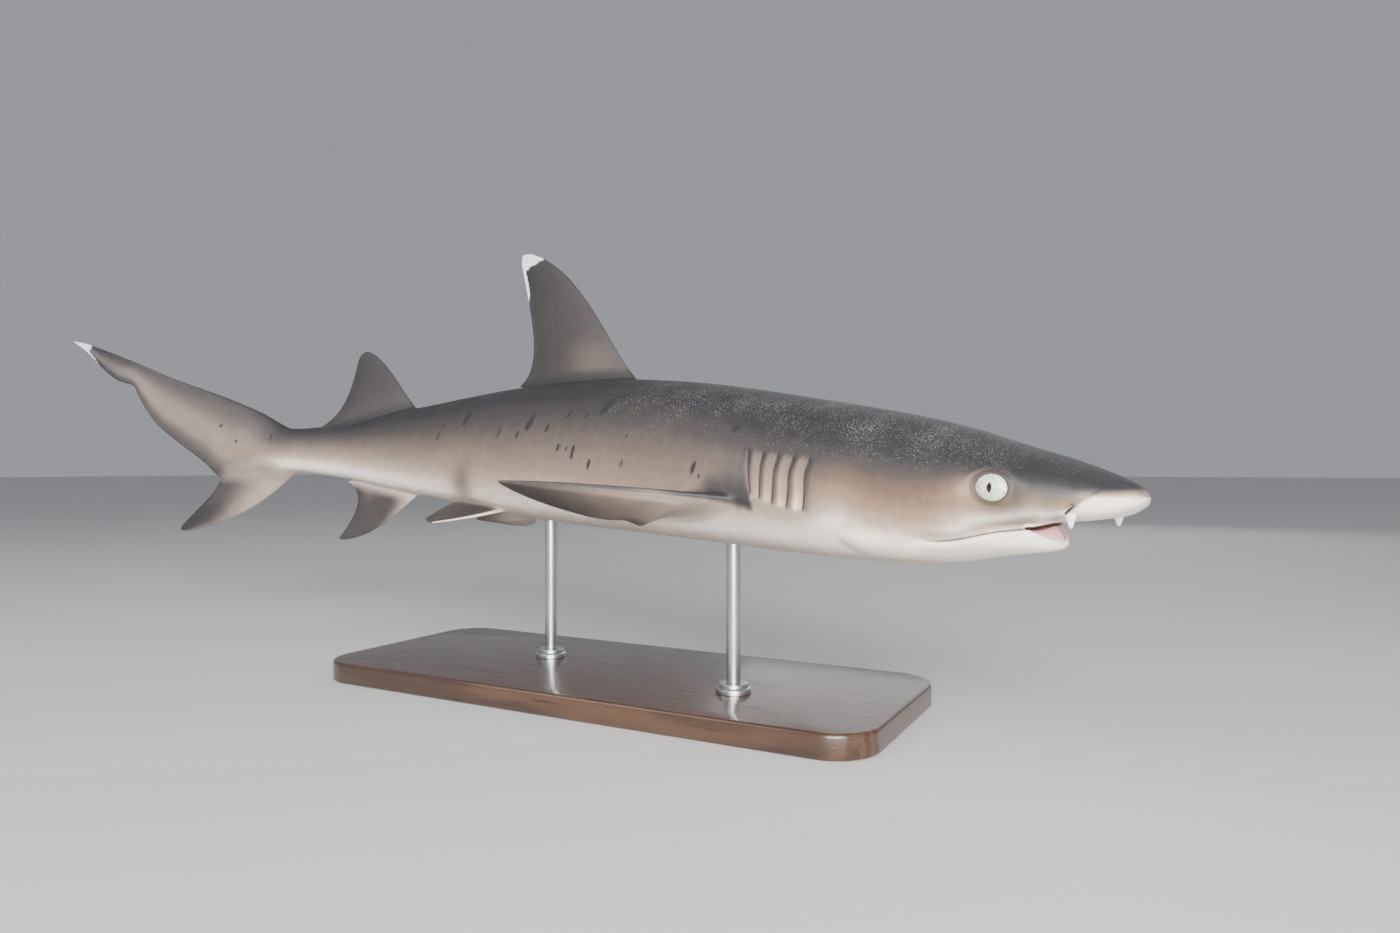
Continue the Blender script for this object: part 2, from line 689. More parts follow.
# Fine skin lies round these. Spans are mm from the nose, up from the spine or off a line; the
# lids' and spots' are shares of their own half sizes.
SNOUT_SIDE = 16  # further out than this is the side of the head
LIDS_BAND, LIDS_WIDE = (0.82, 1.45), 2.2
NOSTRIL_NEAR, NOSTRIL_WIDE = 3.5, 8
SLIT_NEAR, GILLS_S, GILLS_UP = 3, (197, 271), (-26, 19)
LIPS_NEAR, LIPS_S, JAW_LIPS_S = 5, (44, 134), (56, 132)
SPOT_NEAR, SPOT_WIDE = 1.6, 2.4


def fine_zone(points, narrow):
    """Where the skin needs smaller faces; narrow picks only the rims and slits themselves."""
    s, aside, up = -points[:, 0], np.abs(points[:, 1]), points[:, 2]
    lids, spot = lid_reach(s, up), spot_reach(points)[0]
    nostril = path_distance(s, up, NOSTRIL_CREASE)
    if narrow:
        zone = within(lids, *LIDS_BAND) | (nostril < NOSTRIL_NEAR)
        for number in range(SLITS):
            place, down = slit_line(number, up)
            zone |= (np.abs(s - place) < SLIT_NEAR) & within(down, -0.1, 1.1)
        return zone & (aside > SNOUT_SIDE) | (spot < SPOT_NEAR) & (aside > 3)
    zone = (lids < LIDS_WIDE) | (nostril < NOSTRIL_WIDE)
    zone |= within(s, *GILLS_S) & within(up, *GILLS_UP)
    zone |= (np.abs(up - upper_lip(s)) < LIPS_NEAR) & within(s, *LIPS_S)
    return zone & (aside > SNOUT_SIDE) | (spot < SPOT_WIDE)


# Rings crowd at the nose, and lie further apart behind the head and again behind the gills.
BODY_AROUND = 104
body_rings = np.concatenate([
    7 * (np.arange(1, 9) / 8) ** 2,
    np.arange(8.2, 140, 1.35),
    np.arange(140.5, 272, 2.0),
    np.linspace(273, TAIL_STOCK_END, 96),
    TAIL_STOCK_END + (TOTAL_LENGTH - TAIL_STOCK_END) * np.linspace(0.012, 1, 80),
])
LAYOUT_RADIUS = 60


def laid_out(along, turn):
    """The body's rings on a plain tube, where faces can be halved before they are shaped."""
    return np.stack([-along, LAYOUT_RADIUS * np.cos(turn), LAYOUT_RADIUS * np.sin(turn)], axis=1)


def tube_place(points):
    return -points[:, 0], np.arctan2(points[:, 2], points[:, 1])


def orbit(points):
    """The lids rise or sink to lie on the eyeball's rim, with a low fold round them."""
    s, out, up = -points[:, 0], np.abs(points[:, 1]), points[:, 2]
    reach = lid_reach(s, up)

    def ball(at_s, at_up):
        off = oval(at_s, at_up, EYE_CENTRE[::2], EYE_HALF[::2]) ** 2
        return EYE_CENTRE[1] + EYE_HALF[1] * np.sqrt(np.clip(1 - off, 0.02, 1))

    near = np.maximum(reach, 1e-3)
    rim_s, rim_up = (middle + (at - middle) / near for middle, at in zip(LIDS_CENTRE, (s, up)))
    width, _, height, power = off_level(rim_s, rim_up)
    plain = width * np.clip(1 - height ** power, 0, 1) ** (1 / power)
    lift = ball(rim_s, rim_up) + LID_STANDS_PROUD - plain
    lift *= 1 - soft_step(reach, 1, ORBIT_REACH)
    lift += ridge(reach, LID_ROLL) + ridge(reach, LID_GROOVE)
    lift += ridge(reach, BROW) * soft_step(up, LIDS_CENTRE[1], LIDS_CENTRE[1] + 9)
    socket = ball(s, up) - SOCKET_DEPTH
    new_out = np.where(reach < 1, mix(socket, out + lift, soft_step(reach, 0.93, 1)), out + lift)
    moved = points.copy()
    on_head = (reach < LIDS_WIDE) & (out > 20) & (s < 120)
    moved[:, 1] = np.where(on_head, np.sign(points[:, 1]) * new_out, points[:, 1])
    return moved


def folds(points):
    """How far the skin stands out or is cut in, in mm, at the gill slits and nostrils."""
    s, out, up = -points[:, 0], np.abs(points[:, 1]), points[:, 2]
    lift = np.zeros(len(s))
    for number in range(SLITS):
        place, down = slit_line(number, up)
        behind = s - place
        ahead_side = SUNKEN * np.exp(np.minimum(behind, 0) / SUNKEN_REACH)
        rear_side = PROUD * np.exp(-np.maximum(behind, 0) / PROUD_REACH)
        groove = ridge(behind, SLIT_CUT)
        groove += mix(ahead_side, rear_side, soft_step(behind, -0.6, 3.6))
        lift += groove * between(down, -0.05, 0.1, 0.88, 1.04)
    for path, *rows in NOSTRIL_FOLDS:
        distance = path_distance(s, up, path)
        lift += (out > SNOUT_SIDE) * sum(ridge(distance, row) for row in rows)
    return lift


body = rounded_loft("shark_skin", BODY_AROUND, body_rings, laid_out)
for narrow in (False, True):
    refine(body, lambda centres: fine_zone(body_point(*tube_place(centres)), narrow))
along, turn = tube_place(read_points(body))
plain = body_point(along, turn)
SMALL_STEP = 0.01
down_body = body_point(along + SMALL_STEP, turn) - plain
round_body = body_point(along, turn + SMALL_STEP) - plain
outward = np.cross(round_body, down_body)
outward /= np.maximum(np.linalg.norm(outward, axis=1), 1e-9)[:, None]
level = section_sizes(np.minimum(along, TAIL_STOCK_END))[1]
middle = np.stack([plain[:, 0], 0 * along, level], axis=1)
outward *= np.where(np.sum(outward * (plain - middle), axis=1) < 0, -1, 1)[:, None]
write_points(body, orbit(plain + outward * folds(plain)[:, None]))
face_outwards(body)
layout["body"] = np.stack([along, turn], axis=1)


# ---- lower jaw, nostril flaps and fins ----
# Each is a globe laid out as a loft like the body. A fin's root swells where it meets the body,
# as the living fin's does, and every fin edge is blunt and thin.

parts = {}
FIN_AROUND, FIN_RINGS = 44, 60
FIRST_RING, LAST_RING = 0.004, 0.9999
FIN_FLARE, FLARE_RISE, FLARE_LIMIT = 11, 1.5, 1.3
TIP_SHARE, TIP_RINGS = 0.965, 9
MIDLINE_TAPER, PAIRED_TAPER = 0.8, 0.7


def curve_through(corners, t):
    """Points of a cubic curve with four corners."""
    corners, t = np.array(corners, dtype=float), np.asarray(t, dtype=float)[:, None]
    u = 1 - t
    return (u ** 3 * corners[0] + 3 * u * u * t * corners[1] + 3 * u * t * t * corners[2]
            + t ** 3 * corners[3])


def rear_edge(inner, rear, share):
    """A fin's rear edge: its inner margin for the first share of t, then its rear margin."""
    def edge(t):
        margin = mix(np.array(inner, dtype=float), np.array(rear[0], dtype=float),
                     np.minimum(t / share, 1)[:, None])
        later = curve_through(rear, np.clip((t - share) / (1 - share), 0, 1))
        return np.where((t >= share)[:, None], later, margin)
    return edge


def make_fin(name, lead, trail, across, half, rings=FIN_RINGS):
    """A fin between two edges; across is its thickness's direction, half(t) its half thickness."""
    across = np.array(across, dtype=float)
    tip = np.sin(np.linspace(0, 1, TIP_RINGS) * math.pi / 2)
    stations = np.linspace(FIRST_RING, TIP_SHARE, rings)[:-1]
    stations = np.append(stations, mix(TIP_SHARE, LAST_RING, tip))

    def place(t, turn):
        a, b = lead(t), trail(t)
        rounding = np.sqrt(1 - (np.clip(t - TIP_SHARE, 0, 1) / (1 - TIP_SHARE)) ** 2)[:, None]
        a, b = (mix((a + b) / 2, edge, rounding) for edge in (a, b))
        share = (1 - np.cos(turn)) / 2
        run = (b - a) * [-1, 1, 1]
        chord = np.maximum(np.linalg.norm(run, axis=1), 1e-6)
        side = np.sin(turn)
        lift = np.sign(side) * blade_lift(share, chord, half(t))
        points = a * [-1, 1, 1] + run * share[:, None] + across * lift[:, None]
        near = np.clip(1 - clearance(points) / FIN_FLARE, 0, FLARE_LIMIT) ** 2
        outwards = across * side[:, None] - run * (np.cos(turn) / chord)[:, None]
        return points + outwards * (FLARE_RISE * near)[:, None]

    parts[name] = rounded_loft(name, FIN_AROUND, stations, place)
    face_outwards(parts[name])


def midline_fin(name, lead, inner, rear, half, share=0.12, rings=FIN_RINGS):
    """A fin on the midline; corners are s, up and how far it leans to the left."""
    def placed(rows):
        return [(row[0], row[2] if len(row) > 2 else 0, row[1]) for row in rows]

    lead, (inner,), rear = placed(lead), placed([inner]), placed(rear)
    make_fin(name, lambda t: curve_through(lead, t), rear_edge(inner, rear, share), (0, 1, 0),
             lambda t: half * (1 - t) ** MIDLINE_TAPER + EDGE_HALF, rings)


def paired_fins(name, lead, trail, half, across, rings=FIN_RINGS):
    """A left and a right fin; corners are s, out and up, trail gives such points."""
    for word, side in (("left", 1), ("right", -1)):
        turned = np.array([1, side, 1])
        make_fin(name + "_" + word, lambda t: curve_through(lead, t) * turned,
                 lambda t: trail(t) * turned, np.array(across) * turned,
                 lambda t: half * (1 - t) ** PAIRED_TAPER + EDGE_HALF, rings)


midline_fin("first_dorsal", [[446, 66], [488, 80], [534, 192], [618, 212]], [572, 62],
            [[614, 70.5], [584, 92], [602, 134], [624.5, 207]], half=7, rings=96)
midline_fin("second_dorsal", [[748, 42], [776, 62], [806, 116], [833, 117]], [834, 30],
            [[884, 24.5, -12.5], [846, 44, -5], [848, 80], [840, 111]], half=4.5, share=0.2)
midline_fin("anal", [[736, -36], [762, -54], [802, -97], [851, -98.5]], [812, -26],
            [[846, -32.5], [822, -44], [826, -66], [854, -97.5]], half=4)
PECTORAL_REAR = [
    [312, 46, -38], [324, 49, -45], [340, 51, -49.5], [355, 52.5, -51], [367, 55, -51.5],
    [379, 58, -58.5], [388, 68, -55.5], [393, 84, -56], [392, 114, -52.8], [398, 148, -46],
    [400, 174, -39], [391, 198.5, -32],
]
paired_fins("pectoral", [[250, 46, -22], [292, 100, -24], [346, 160, -26], [386, 199.5, -31.5]],
            edge_curve(PECTORAL_REAR), half=7, across=(-0.2, -0.18, 0.96), rings=88)
paired_fins("pelvic", [[588, 12, -52], [612, 40, -64], [630, 62, -70], [655, 69, -73.5]],
            rear_edge([668, 14, -44], [[697, 38, -69.5], [690, 50, -71], [674, 62, -73],
                                       [659, 68, -74]], share=0.35),
            half=4, across=(-0.1, 0.25, 0.96))
LOWER_LEAD = [[904, 0, -12], [946, 0, -56], [988, 0, -84], [1050, 0, -94]]
LOWER_TRAIL = [[1012, 0, -12], [998, 0, -42], [1034, 0, -60], [1058, 0, -91.5]]
LOWER_HALF, LOWER_TAPER = 6, 1.2
make_fin("lower_lobe", lambda t: curve_through(LOWER_LEAD, t),
         lambda t: curve_through(LOWER_TRAIL, t), across=(0, 1, 0),
         half=lambda t: LOWER_HALF * (1 - t) ** LOWER_TAPER + EDGE_HALF)

FLAP_ROOT = {"left": (30.4, 31, -6.6), "right": (33.4, 31, -6.4)}
FLAP_TIP = {"left": (31.0, 33, -16.0), "right": (31.6, 33, -15.7)}
FLAP_HALF, FLAP_FLATNESS, FLAP_TIP_SHARE = (4.5, 0.8), 0.5, 0.12
FLAP_AROUND, flap_rings = 24, np.linspace(-0.2, 0.999, 26)
for word, side in (("left", 1), ("right", -1)):
    def flap_place(t, turn):
        line = mix(np.array(FLAP_ROOT[word]), np.array(FLAP_TIP[word]), t[:, None])
        half = mix(*FLAP_HALF, np.clip(t, 0, 1)) * np.sqrt(np.clip((1 - t) / FLAP_TIP_SHARE, 0, 1))
        out = line[:, 1] + FLAP_FLATNESS * half * np.sin(turn)
        return np.stack([-line[:, 0] + half * np.cos(turn), side * out, line[:, 2]], axis=1)

    flap = rounded_loft("flap_" + word, FLAP_AROUND, flap_rings, flap_place)
    face_outwards(flap)
    parts["flap_" + word] = flap

JAW_AROUND = 96
jaw_rings = np.concatenate([
    JAW_FRONT + 4 * (np.arange(1, 9) / 8) ** 2,
    np.arange(53.4, 130, 1.35), np.arange(131, 187, 2.5),
])
jaw_curves = (jaw_width, jaw_top, jaw_under)


def jaw_lip_zone(points):
    s, out, up = -points[:, 0], np.abs(points[:, 1]), points[:, 2]
    return (np.abs(up - upper_lip(s)) < LIPS_NEAR) & within(s, *JAW_LIPS_S) & (out > 12)


jaw = rounded_loft("jaw", JAW_AROUND, jaw_rings,
                   lambda s, turn: on_section(s, turn, jaw_curves, lambda s: BELLY_FULLNESS))
refine(jaw, jaw_lip_zone)
face_outwards(jaw)
layout["jaw"] = read_points(jaw)[:, :2] * [-1, 0]
parts["jaw"] = jaw


# ---- one skin ----
# The loose forms are joined to the body, the mouth is cut, and the skin is smoothed where the
# forms meet, so that lips and fin roots are rounded and nothing shows a joint.

def tree_of(points):
    tree = KDTree(len(points))
    for i, point in enumerate(points):
        tree.insert(point, i)
    tree.balance()
    return tree


known = {"body": read_points(body)}
known.update((name, read_points(piece)) for name, piece in parts.items())

boolean(body, parts["jaw"], "UNION")
make_active(parts["anal"])
for name, piece in parts.items():
    if name not in ("anal", "jaw"):
        piece.select_set(True)
bpy.ops.object.join()
boolean(body, bpy.context.object, "UNION")


MOUTH_AROUND = {"wedge": 32, "hollow": 48}
WEDGE_HALF, WEDGE_SQUARENESS = 80.0, 1.6
HOLLOW_WALL, HOLLOW_END, HOLLOW_TAPER = 4.2, 84, 14
HOLLOW_RISE, HOLLOW_GAPE_SHARE, HOLLOW_SINK = 5.0, 0.35, 1.0


def mouth_wedge(stations, turn):
    """The open mouth: a wedge between the lips, boxed in section, wider than the head."""
    aside, above = (np.clip(f(turn) * WEDGE_SQUARENESS, -1, 1) for f in (np.cos, np.sin))
    up = mix(lower_lip(stations), upper_lip(stations), 0.5 + 0.5 * above)
    return np.stack([-stations, WEDGE_HALF * aside, up], axis=1)


wedge_rings = np.arange(38, GAPE_END, 0.8)
wedge = rounded_loft("mouth_wedge", MOUTH_AROUND["wedge"], wedge_rings, mouth_wedge)
face_outwards(wedge)
known["mouth_wedge"] = read_points(wedge)
boolean(body, wedge, "DIFFERENCE")


def mouth_hollow(stations, turn):
    """The cavity inside the lips: a flat lens, deepest below, that narrows towards the throat."""
    taper = np.sqrt(np.clip((HOLLOW_END - stations) / HOLLOW_TAPER, 0, 1))
    width = np.maximum(jaw_width(stations) - HOLLOW_WALL, 1) * taper
    top, bottom = upper_lip(stations), lower_lip(stations)
    rise = HOLLOW_RISE + (top - bottom) * HOLLOW_GAPE_SHARE
    up = (top + bottom) / 2 + rise * np.sin(turn) - HOLLOW_SINK
    return np.stack([-stations, width * np.cos(turn), up], axis=1)


hollow_rings = np.linspace(53.5, 83.5, 30)
hollow = rounded_loft("mouth_hollow", MOUTH_AROUND["hollow"], hollow_rings, mouth_hollow)
face_outwards(hollow)
known["mouth_hollow"] = read_points(hollow)
boolean(body, hollow, "DIFFERENCE")

MERGE_REACH = 0.2
edit_all(body)
bpy.ops.mesh.remove_doubles(threshold=MERGE_REACH)
bpy.ops.object.mode_set(mode="OBJECT")

# Each point of the skin belongs to the form that it lay on; those off all forms are a joint's own.
JOINT_TOLERANCE = 0.02
form_of = np.concatenate([np.full(len(points), k) for k, points in enumerate(known.values())])
laid = np.concatenate([layout[name] for name in known])
tree = tree_of(np.concatenate(list(known.values())))
points = read_points(body)
found = [tree.find(point) for point in points]
origin = np.array([index for _, index, _ in found])
on_joint = np.array([distance for _, _, distance in found]) > JOINT_TOLERANCE
form, laid = form_of[origin], laid[origin]
form_names = list(known)

edges = read_all(body.data.edges, "vertices", 2, np.int32)
ends, others = np.concatenate([edges, edges[:, ::-1]]).T
neighbours = np.maximum(np.bincount(ends, minlength=len(points)), 1)


def averaged(values):
    """Each point's neighbours' mean."""
    columns = [np.bincount(ends, values[others, k], len(points)) for k in range(values.shape[1])]
    return np.stack(columns, axis=1) / neighbours[:, None]


JOINT_ROUNDING, LIP_ROUNDING, CHEEK_ROUNDING = 7.0, 1.5, 6.0
ROUNDING_PASSES, CHEEK_PASSES, ROUNDING_SHARE = 12, 40, 0.6
joint_tree = tree_of(points[on_joint])
to_joint = np.array([joint_tree.find(point)[2] for point in points])
s, up = -points[:, 0], points[:, 2]
at_mouth = within(s, 36, 130) & (up < 5)
behind_lips = at_mouth & (s > GAPE_END - 1)
reach = np.where(behind_lips, CHEEK_ROUNDING, np.where(at_mouth, LIP_ROUNDING, JOINT_ROUNDING))
weight = np.clip(1 - to_joint / reach, 0, 1)
for passes in range(CHEEK_PASSES):
    if passes == ROUNDING_PASSES:
        weight = weight * behind_lips
    points += (averaged(points) - points) * (ROUNDING_SHARE * weight)[:, None]
write_points(body, points)

# Behind the corner of the mouth the closed lips are a crease, over a full lower lip and under a
# shallow dip: rows of place above the lip line, half width and height.
LIP_FOLDS = [(0, 0.8, -1.5), (-3.0, 2.2, 0.7), (3.2, 2.6, -0.6)]
s, out, up = -points[:, 0], np.abs(points[:, 1]), points[:, 2]
off_lip = up - upper_lip(s)
along_lip = between(s, 60, 66, 104, 126) * (out > 10) * (up < 0)
fold = sum(ridge(off_lip, row) for row in LIP_FOLDS)
points += read_all(body.data.vertices, "normal") * (along_lip * fold)[:, None]
lip_crease = along_lip * bell(off_lip, *LIP_FOLDS[0][:2])
write_points(body, points)


# ---- the swimming pose ----
# The straight animal is carried onto its spine: the head turned to its right, the tail swung
# well to its left, the back dipped behind the head and leaning a little.

HEADING_AT_NOSE, HEADING_SWING, HEADING_POWER, HEADING_STEADY_FROM = -18.5, 67, 2.25, 0.79
PITCH_OVERALL, PITCH_DIP, DIP_CENTRE, DIP_REACH = -0.7, -5.2, 0.22, 0.14
BANK_AT_NOSE, BANK_OF_TRUNK, BANK_STEADY_FROM = 1, 4.5, 400
STAND_STATION, SPINE_HEIGHT = 478.5, 220
SPINE_STEP, SPINE_SPARE = 4, 80


def heading(s):
    share = np.clip(np.maximum(s, 0) / TOTAL_LENGTH, 0, HEADING_STEADY_FROM)
    return np.radians(HEADING_AT_NOSE + HEADING_SWING * share ** HEADING_POWER)


def ahead(s):
    pitch = np.radians(PITCH_OVERALL + PITCH_DIP * bell(s / TOTAL_LENGTH, DIP_CENTRE, DIP_REACH))
    turned = heading(s)
    return np.stack([np.cos(turned) * np.cos(pitch), np.sin(turned) * np.cos(pitch),
                     np.sin(pitch)], axis=-1)


spine_places = np.arange(-SPINE_SPARE, TOTAL_LENGTH + SPINE_SPARE, SPINE_STEP)
spine = np.cumsum(np.vstack([[[0, 0, 0]], -SPINE_STEP * ahead(spine_places + SPINE_STEP / 2)]),
                  axis=0)


def spine_at(s):
    step = (np.asarray(s) + SPINE_SPARE) / SPINE_STEP
    return np.stack([np.interp(step, np.arange(len(spine)), spine[:, k]) for k in range(3)],
                    axis=-1)


def directions(s):
    """The body's own left and up at a distance from the nose."""
    front, turned = ahead(s), heading(s)
    level_left = np.stack([-np.sin(turned), np.cos(turned), 0 * turned], axis=-1)
    level_up = np.cross(front, level_left)
    bank = np.radians(mix(BANK_AT_NOSE, BANK_OF_TRUNK, soft_step(s, 0, BANK_STEADY_FROM)))
    c, d = np.cos(bank)[..., None], np.sin(bank)[..., None]
    return level_left * c - level_up * d, level_up * c + level_left * d


def bent(points):
    """Straight millimetres to the finished pose in metres."""
    left, upwards = directions(-points[:, 0])
    stand_point = spine_at(STAND_STATION) - [0, 0, SPINE_HEIGHT]
    placed = spine_at(-points[:, 0]) - stand_point
    placed = placed + left * points[:, 1:2] + upwards * points[:, 2:3]
    return placed / 1000


write_points(body, bent(points))
make_active(body)
bpy.ops.object.shade_smooth()


# ---- skin finish ----
# Hand painted from slate on the back, through tan flanks, to a white belly, under a fine grain of
# skin teeth. The painter's marks are laid down point by point; the shader breaks up their edges.

def on(*names):
    """Which points lie on these forms."""
    return np.isin(form, [form_names.index(name) for name in names])


def blot(a, b, centre, half):
    """A soft mark: 1 in its middle, faint past its half sizes."""
    return bell(oval(a, b, centre, half), 0, 1)


s, out, up = -points[:, 0], points[:, 1], points[:, 2]
aside = np.abs(out)
width, off, height, power = off_level(np.minimum(s, TAIL_STOCK_END), up)
elevation = np.arctan2(np.sign(off) * height ** (power / 2),
                       (aside / np.maximum(width, 1)) ** (power / 2))  # 0 at the widest level
on_body = on("body", "jaw", "mouth_wedge", "mouth_hollow")
flaps, lower_lobe = on("flap_left", "flap_right"), on("lower_lobe")
pectorals, pelvics = on("pectoral_left", "pectoral_right"), on("pelvic_left", "pelvic_right")

# Where the slate of the back ends and where the belly's white begins, as s and elevations.
# Paleness runs from 0, slate, to 1, white, and warmth adds tan.
TONE_EDGES = np.array([
    [0, 2.3, -0.10], [4, 1.7, -0.10], [8, 0.95, -0.05], [12, 0.65, -0.05], [18, 0.46, 0.0],
    [24, 0.40, -0.12], [32, 0.28, -0.50], [42, 0.30, -0.66], [54, 0.34, -0.55],
    [80, 0.56, -0.68], [110, 0.54, -0.72], [150, 0.54, -0.62], [178, 0.56, -0.44],
    [210, 0.54, -0.70], [300, 0.72, -0.80], [400, 0.80, -0.90], [570, 0.80, -0.90],
    [720, 0.78, -0.85], [TAIL_STOCK_END, 0.86, -0.62],
])
NOSE_TONE, NOSE_SHADE, UNDERSIDE_SHADE = 0.6, 0.10, 0.12
FLANK_WARMTH, CHEEK_WARMTH = (0.5, 0.35, 0.35), (0.42, 0.24, 0.55)
slate_edge, white_edge = (smooth_table(TONE_EDGES, k) for k in (1, 2))
share_down = np.clip((slate_edge(s) - elevation) / (slate_edge(s) - white_edge(s)), 0, 1)
paleness = 0.02 + 0.98 * mix(share_down, soft_step(share_down, 0, 1), 0.35)
paleness -= NOSE_SHADE * (1 - soft_step(s, 0, 9)) * (elevation < 1.5)
paleness = np.maximum(paleness, NOSE_TONE * (1 - soft_step(s, 1.5, 7)))
paleness -= UNDERSIDE_SHADE * soft_step(-elevation, 0.75, 1.15) * soft_step(s, 90, 130)
warmth = ridge(share_down, FLANK_WARMTH)
warmth += ridge(share_down, CHEEK_WARMTH) * bell(s, 120, 75) * (aside > 15)

# The jaw and throat are pure white, up to the line of the lips.
below_lip = soft_step(upper_lip(s) - up, -0.6, 0.8) * (s > 46) * (1 - soft_step(s, 96, 128))
paleness = mix(paleness, 1.0, below_lip)

# Round the eyes: a dark rim, a pale upper lid, and smudges, as s, up, half sizes and strength,
# dark under and ahead of the eye and pale behind it.
EYE_SMUDGES = [(70, -4.5, 13, 4.5, -0.30), (58, 5, 5, 9, -0.22), (90, 5, 6, 7, 0.16)]
UPPER_LID = (1.35, 0.22, 0.14)
lids = lid_reach(s, up)
at_eye = (aside > 25) & (s < 130)
rim = at_eye * bell(lids, 1.04, 0.12)
for at_s, at_up, half_s, half_up, strength in EYE_SMUDGES:
    paleness += at_eye * strength * blot(s, up, (at_s, at_up), (half_s, half_up))
paleness += at_eye * ridge(lids, UPPER_LID) * soft_step(up, 4, 12)

# The crease of the lips, the shade over it, and the nostril's open slit in its crease.
LIP_LINE_TONE, OVER_LIP, NOSTRIL_SHADE = 0.75, (3.2, 3.0, -0.24), (0, 1.6, -0.16)
opening = path_distance(s, up, NOSTRIL_SLIT) / mix(0.55, 1.1, soft_step(s, 30, 34.5))
slit = np.maximum(LIP_LINE_TONE * lip_crease, bell(opening, 0, 1.0) * (aside > SNOUT_SIDE))
paleness += ridge(path_distance(s, up, NOSTRIL_CREASE), NOSTRIL_SHADE) * (aside > SNOUT_SIDE)
paleness += ridge(up - upper_lip(s), OVER_LIP) * between(s, 44, 62, 105, 130) * at_eye

# Gills: pale, tan ridges, a shaded dip ahead of each slit and a dark line in it.
SLIT_PAINT = (0.1, 0.85, 1)
SLIT_SHADE, LAST_SHADE = (-2.6, 2.6, -0.16), (1.6, 2.2, -0.25)
RIDGE_PALE, RIDGE_WARM, RIDGE_FADE = (5.6, 4.4, 0.32), (3.2, 3.0, 0.30), 0.35
flank = aside > 25
for number in range(SLITS):
    place, down = slit_line(number, up)
    window = between(down, -0.06, 0.08, 0.92, 1.06) * flank
    behind = s - place
    slit = np.maximum(slit, window * ridge(behind, SLIT_PAINT))
    paleness += window * ridge(behind, SLIT_SHADE)
    if number == SLITS - 1:
        paleness += window * ridge(behind, LAST_SHADE)
    else:
        fade = window * (1 - RIDGE_FADE * number / (SLITS - 1))
        paleness += fade * ridge(behind, RIDGE_PALE)
        warmth += fade * ridge(behind, RIDGE_WARM)

# Grey over the pelvic fins' roots.
PELVIC_PATCH, PATCH_HALF, PATCH_LEAN, PATCH_SHADE = (646, -32), (15, 17), -0.4, 0.30
leaned = s - PATCH_LEAN * (up - PELVIC_PATCH[1])
paleness -= PATCH_SHADE * blot(leaned, up, PELVIC_PATCH, PATCH_HALF) * on("body") * (aside > 12)

# The fins' tones, by the share of the span (t) and of the chord (rear, 0 at the leading edge).
t, rear = laid[:, 0], (1 - np.cos(laid[:, 1])) / 2
upper_side = soft_step(np.sin(laid[:, 1]), 0.12, 0.42) * (pectorals | pelvics)
first = 0.19 + 0.20 * blot(t, rear, (0.25, 0.25), (0.16, 0.3))
first -= 0.08 * rear + 0.08 * soft_step(t, 0.5, 0.9)
second = 0.08 + 0.13 * bell(t, 0.2, 0.2) - 0.06 * soft_step(rear, 0.6, 1)
anal = mix(0.80, 0.18, soft_step(rear + 0.55 * t, 0.12, 0.46)) - 0.12 * soft_step(rear, 0.85, 1)
anal -= 0.35 * soft_step(rear, 0.5, 0.8) * (1 - soft_step(t, 0.06, 0.14))
anal += 0.16 * blot(t, rear, (0.3, 0.72), (0.14, 0.14))
pectoral = mix(0.74, 0.16, soft_step(t + 0.22 * rear, 0.36, 1.05))
pectoral += 0.16 * bell(rear, 0.10, 0.05) * soft_step(t, 0.2, 0.4)
pectoral -= 0.30 * blot(s, aside, (378, 60), (15, 15))
pectoral += 0.25 * blot(s, aside, (347, 54), (16, 7))
pectoral = mix(pectoral, 0.06, (1 - soft_step(rear, 0.002, 0.012)) * soft_step(t, 0.3, 0.6))
pectoral -= 0.5 * soft_step(rear, 0.98, 1)
pectoral = mix(pectoral, 0.12 + 0.06 * rear, upper_side)
pelvic = mix(mix(0.84, 0.38, soft_step(rear, 0.45, 1)), 0.15, upper_side)
pelvic += 0.2 * (1 - soft_step(rear, 0.015, 0.05))
lower = mix(0.70, 0.24, soft_step(rear + 0.45 * t, 0.30, 1.0)) - 0.25 * soft_step(rear, 0.93, 1)
lower = mix(lower - 0.22 * soft_step(t, 0.45, 0.8), 0.64, soft_step(up, -40, -26))
fin_tone = np.select(
    [on("first_dorsal"), on("second_dorsal"), on("anal"), pectorals, pelvics, lower_lobe, flaps],
    [first, second, anal, pectoral, pelvic, lower, 1.0], paleness)

# A fin's tone takes over as it leaves the body, and sooner on the paired fins' upper sides.
FIN_WARMTH = 0.15
off_body = clearance(points)
fin_blend = np.where(flaps | lower_lobe, 1, soft_step(off_body, 0, 14))
fin_blend = mix(fin_blend, soft_step(off_body, -1, 4), upper_side)
paleness = np.where(on_body, paleness, mix(paleness, fin_tone, fin_blend))
warmth = np.where(on_body, warmth, mix(warmth, FIN_WARMTH, fin_blend))

# A dark patch spreads from the last slit to the top of the pectoral fin, with a slanting top.
last_slit, _ = slit_line(SLITS - 1, up)
patch_top = 14 - 0.62 * (s - 258)
patch = soft_step(s - last_slit, -1.5, 2.5) * (1 - soft_step(s, 292, 318)) * flank
patch *= soft_step(patch_top - up, -8, 12) * soft_step(up, -27, -24.5)
paleness = mix(paleness, mix(0.06, 0.34, soft_step(up, -26, 0)), 0.85 * patch)
warmth *= 1 - patch

